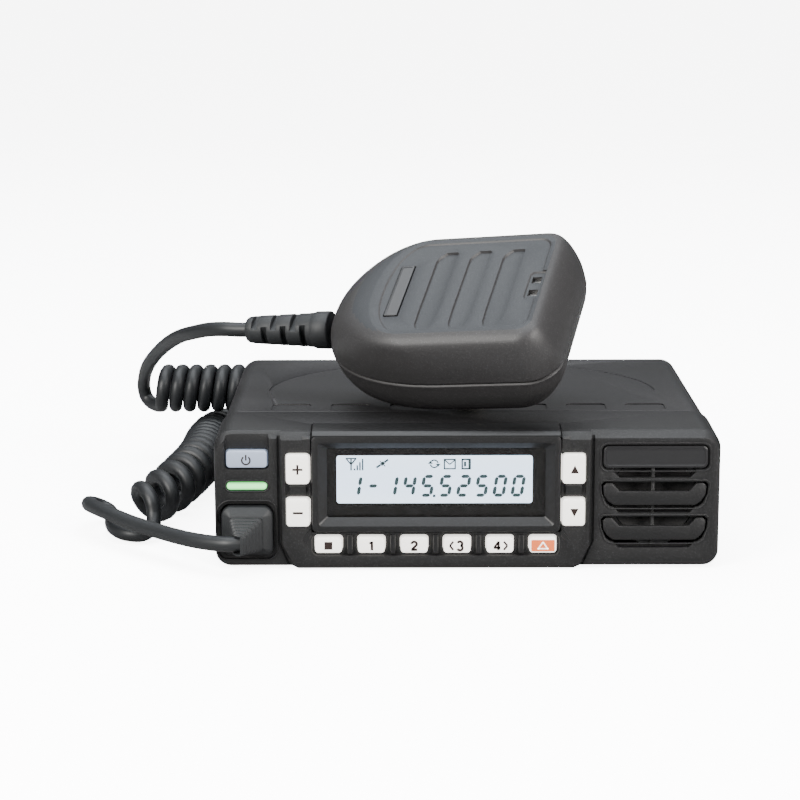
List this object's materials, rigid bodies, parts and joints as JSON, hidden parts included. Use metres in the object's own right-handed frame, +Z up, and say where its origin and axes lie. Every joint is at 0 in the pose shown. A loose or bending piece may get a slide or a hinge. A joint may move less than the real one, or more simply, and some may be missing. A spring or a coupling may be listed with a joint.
{
  "type": "mobile transceiver",
  "caption": "Mobile radio transceiver with a display, keys, a front speaker grille and a hand microphone on a curly cord lying on its top.",
  "frame": {"origin": "under the middle of the radio and its microphone, on the surface it stands on", "axes": "+X to the right seen from the front, +Y from the front panel to the rear sockets, +Z up"},
  "size_m": [0.2091, 0.2095, 0.1],
  "materials": {
    "panel_black": "fine moulded texture, black",
    "bezel_black": "satin black",
    "clear_window": "clear, glossy",
    "display": "pale blue-white backlit display",
    "status_green": "green light window",
    "key_white": "off-white moulded key",
    "key_grey": "blue-grey moulded key",
    "badge_black": "smooth dark plate",
    "cover_black": "textured black paint",
    "cast_black": "black die casting",
    "mic_plastic": "charcoal moulded texture",
    "rubber_black": "matte rubber",
    "cord_jacket": "matte cord jacket",
    "steel": "plated steel",
    "brass": "nickel-plated brass",
    "socket_black": "black socket housing",
    "board_green": "solder-masked board",
    "membrane_grey": "silicone membrane",
    "cone_paper": "treated paper cone",
    "plug_clear": "clear modular plug"
  },
  "bodies": {
    "root": {"front_panel": "panel_black", "display_bezel": "bezel_black", "display_window": "clear_window", "display_module": "display", "led_window": "status_green", "speaker_grille": "panel_black", "grille_badge": "badge_black", "speaker_frame": "steel", "speaker_cone": "cone_paper", "key_membrane": "membrane_grey", "control_board": "board_green", "main_board": "board_green", "shield_can": "steel", "power_module": "socket_black", "mic_jack": "socket_black", "chassis": "cast_black", "top_cover": "cover_black", "bottom_cover": "cover_black", "panel_gasket": "rubber_black", "antenna_connector": "brass", "dc_power_inlet": "socket_black", "accessory_port": "steel", "speaker_jack": "socket_black", "mic_plug": "plug_clear", "plug_boot": "rubber_black", "cord_plug_lead": "cord_jacket", "cord_coil_lower": "cord_jacket", "cord_coil_upper": "cord_jacket", "cord_mic_lead": "cord_jacket", "cover_screw_1": "steel", "cover_screw_2": "steel", "cover_screw_3": "steel", "cover_screw_4": "steel"},
    "key_stop_body": {"key_stop": "key_white"},
    "key_one_body": {"key_one": "key_white"},
    "key_two_body": {"key_two": "key_white"},
    "key_previous_body": {"key_previous": "key_white"},
    "key_next_body": {"key_next": "key_white"},
    "key_alert_body": {"key_alert": "key_white"},
    "key_plus_body": {"key_plus": "key_white"},
    "key_minus_body": {"key_minus": "key_white"},
    "key_up_body": {"key_up": "key_white"},
    "key_down_body": {"key_down": "key_white"},
    "key_power_body": {"key_power": "key_grey"},
    "microphone": {"mic_front_shell": "mic_plastic", "mic_rear_shell": "mic_plastic", "mic_badge": "badge_black", "ptt_switch": "socket_black", "mic_board": "board_green", "mic_capsule": "steel", "hanger_stud": "steel", "mic_screw_1": "steel", "mic_screw_2": "steel", "mic_screw_3": "steel", "mic_strain_relief": "rubber_black"},
    "talk_key": {"ptt_key": "rubber_black"}
  },
  "joints": [
    {"name": "key_stop_press", "type": "slide", "parent": "root", "child": "key_stop_body", "axis": [0, 1, 0], "range_m": [0, 0.0008], "stiffness_N_per_m": 1500, "springref_m": -0.0004},
    {"name": "key_one_press", "type": "slide", "parent": "root", "child": "key_one_body", "axis": [0, 1, 0], "range_m": [0, 0.0008], "stiffness_N_per_m": 1500, "springref_m": -0.0004},
    {"name": "key_two_press", "type": "slide", "parent": "root", "child": "key_two_body", "axis": [0, 1, 0], "range_m": [0, 0.0008], "stiffness_N_per_m": 1500, "springref_m": -0.0004},
    {"name": "key_previous_press", "type": "slide", "parent": "root", "child": "key_previous_body", "axis": [0, 1, 0], "range_m": [0, 0.0008], "stiffness_N_per_m": 1500, "springref_m": -0.0004},
    {"name": "key_next_press", "type": "slide", "parent": "root", "child": "key_next_body", "axis": [0, 1, 0], "range_m": [0, 0.0008], "stiffness_N_per_m": 1500, "springref_m": -0.0004},
    {"name": "key_alert_press", "type": "slide", "parent": "root", "child": "key_alert_body", "axis": [0, 1, 0], "range_m": [0, 0.0008], "stiffness_N_per_m": 1500, "springref_m": -0.0004},
    {"name": "key_plus_press", "type": "slide", "parent": "root", "child": "key_plus_body", "axis": [0, 1, 0], "range_m": [0, 0.0008], "stiffness_N_per_m": 1500, "springref_m": -0.0004},
    {"name": "key_minus_press", "type": "slide", "parent": "root", "child": "key_minus_body", "axis": [0, 1, 0], "range_m": [0, 0.0008], "stiffness_N_per_m": 1500, "springref_m": -0.0004},
    {"name": "key_up_press", "type": "slide", "parent": "root", "child": "key_up_body", "axis": [0, 1, 0], "range_m": [0, 0.0008], "stiffness_N_per_m": 1500, "springref_m": -0.0004},
    {"name": "key_down_press", "type": "slide", "parent": "root", "child": "key_down_body", "axis": [0, 1, 0], "range_m": [0, 0.0008], "stiffness_N_per_m": 1500, "springref_m": -0.0004},
    {"name": "key_power_press", "type": "slide", "parent": "root", "child": "key_power_body", "axis": [0, 1, 0], "range_m": [0, 0.0008], "stiffness_N_per_m": 1500, "springref_m": -0.0004},
    {"name": "microphone_lift", "type": "slide", "parent": "root", "child": "microphone", "axis": [0, 0, 1], "range_m": [0, 0.08]},
    {"name": "talk_key_press", "type": "slide", "parent": "microphone", "child": "talk_key", "axis": [-0.2446, -0.8183, -0.5201], "range_m": [0, 0.0015], "stiffness_N_per_m": 1500, "springref_m": -0.0005}
  ]
}
